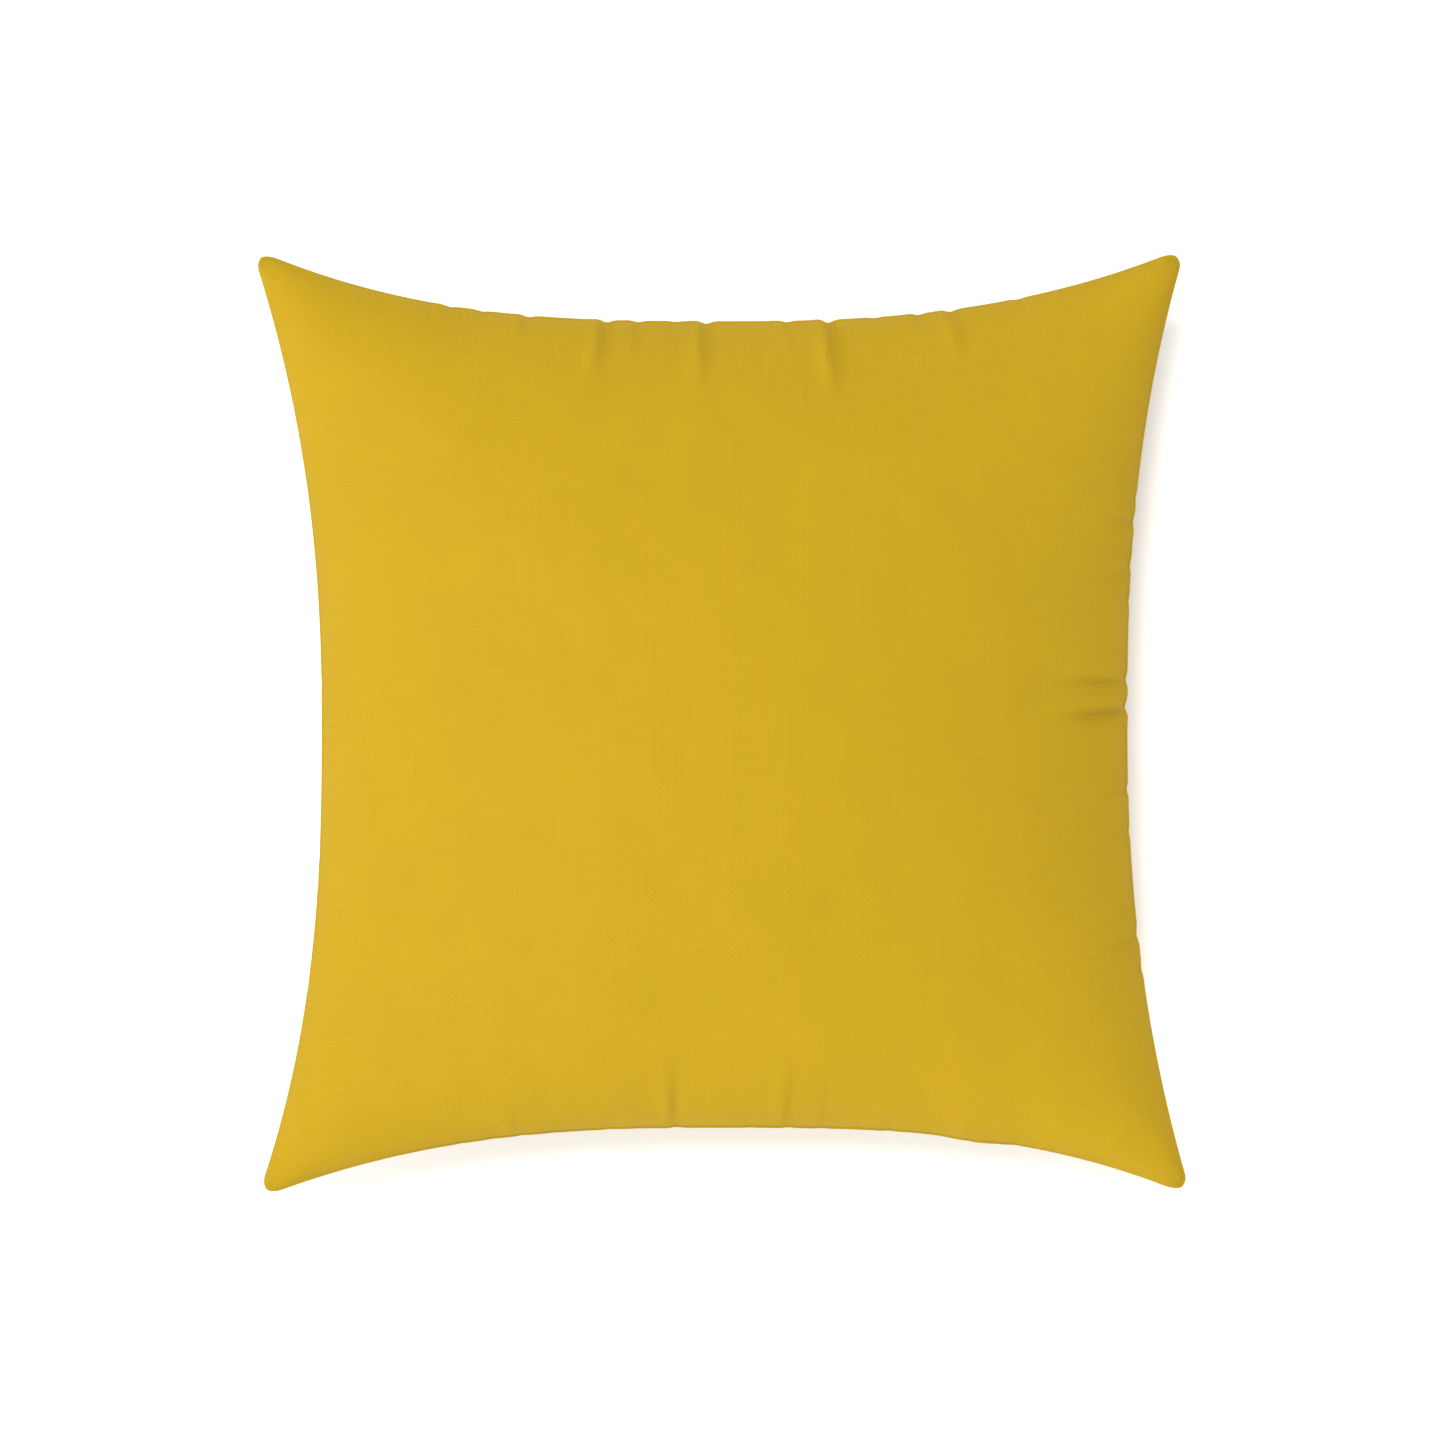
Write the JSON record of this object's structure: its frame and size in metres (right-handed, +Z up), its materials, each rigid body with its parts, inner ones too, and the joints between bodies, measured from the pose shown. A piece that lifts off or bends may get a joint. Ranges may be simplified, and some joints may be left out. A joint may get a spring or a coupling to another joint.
{
  "type": "throw pillow",
  "caption": "Square throw pillow: plain woven cover with a knife-edge seam and a hidden zip in the lower edge, round a fibre-filled insert.",
  "frame": {"origin": "middle of the flat patch that the pillow's back rests on", "axes": "+Z up out of the front, +Y towards the top edge, +X to the right seen from the front; the zip is in the -Y edge"},
  "size_m": [0.4362, 0.4362, 0.1603],
  "materials": {
    "cover_cloth": "matt spun polyester, fine weave",
    "cover_thread": "polyester sewing thread",
    "zip_tape": "woven polyester tape",
    "zip_coil": "nylon monofilament coil",
    "zip_stop": "pressed",
    "slider_metal": "die-cast, enamelled to match the cloth",
    "label_satin": "white satin, blank",
    "insert_cloth": "white nonwoven",
    "insert_thread": "white sewing thread",
    "fibre": "loose polyester fibre"
  },
  "bodies": {
    "pillow": {"cover_front_panel": "cover_cloth", "cover_back_panel": "cover_cloth", "cover_seam_thread": "cover_thread", "cover_overlock_thread": "cover_thread", "zip_tape_front": "zip_tape", "zip_tape_back": "zip_tape", "zip_coil_front": "zip_coil", "zip_coil_back": "zip_coil", "zip_stitching_front": "cover_thread", "zip_stitching_back": "cover_thread", "zip_top_stops": "zip_stop", "zip_bottom_stop": "zip_stop", "care_label": "label_satin", "insert_front_panel": "insert_cloth", "insert_back_panel": "insert_cloth", "insert_fill": "fibre", "insert_seam_thread": "insert_thread", "insert_closing_stitch": "insert_thread"},
    "slider": {"zip_slider_body": "slider_metal"},
    "pull": {"zip_pull_tab": "slider_metal"}
  },
  "joints": [
    {"name": "zip_travel", "type": "hinge", "parent": "pillow", "child": "slider", "pos_m": [0, -1.01905, 0.072], "axis": [0, 0, 1], "range_deg": [0, 16.47]},
    {"name": "pull_swing", "type": "hinge", "parent": "slider", "child": "pull", "pos_m": [0.11901, -0.19667, 0.072], "axis": [0, 0, 1], "range_deg": [0, 165]}
  ]
}
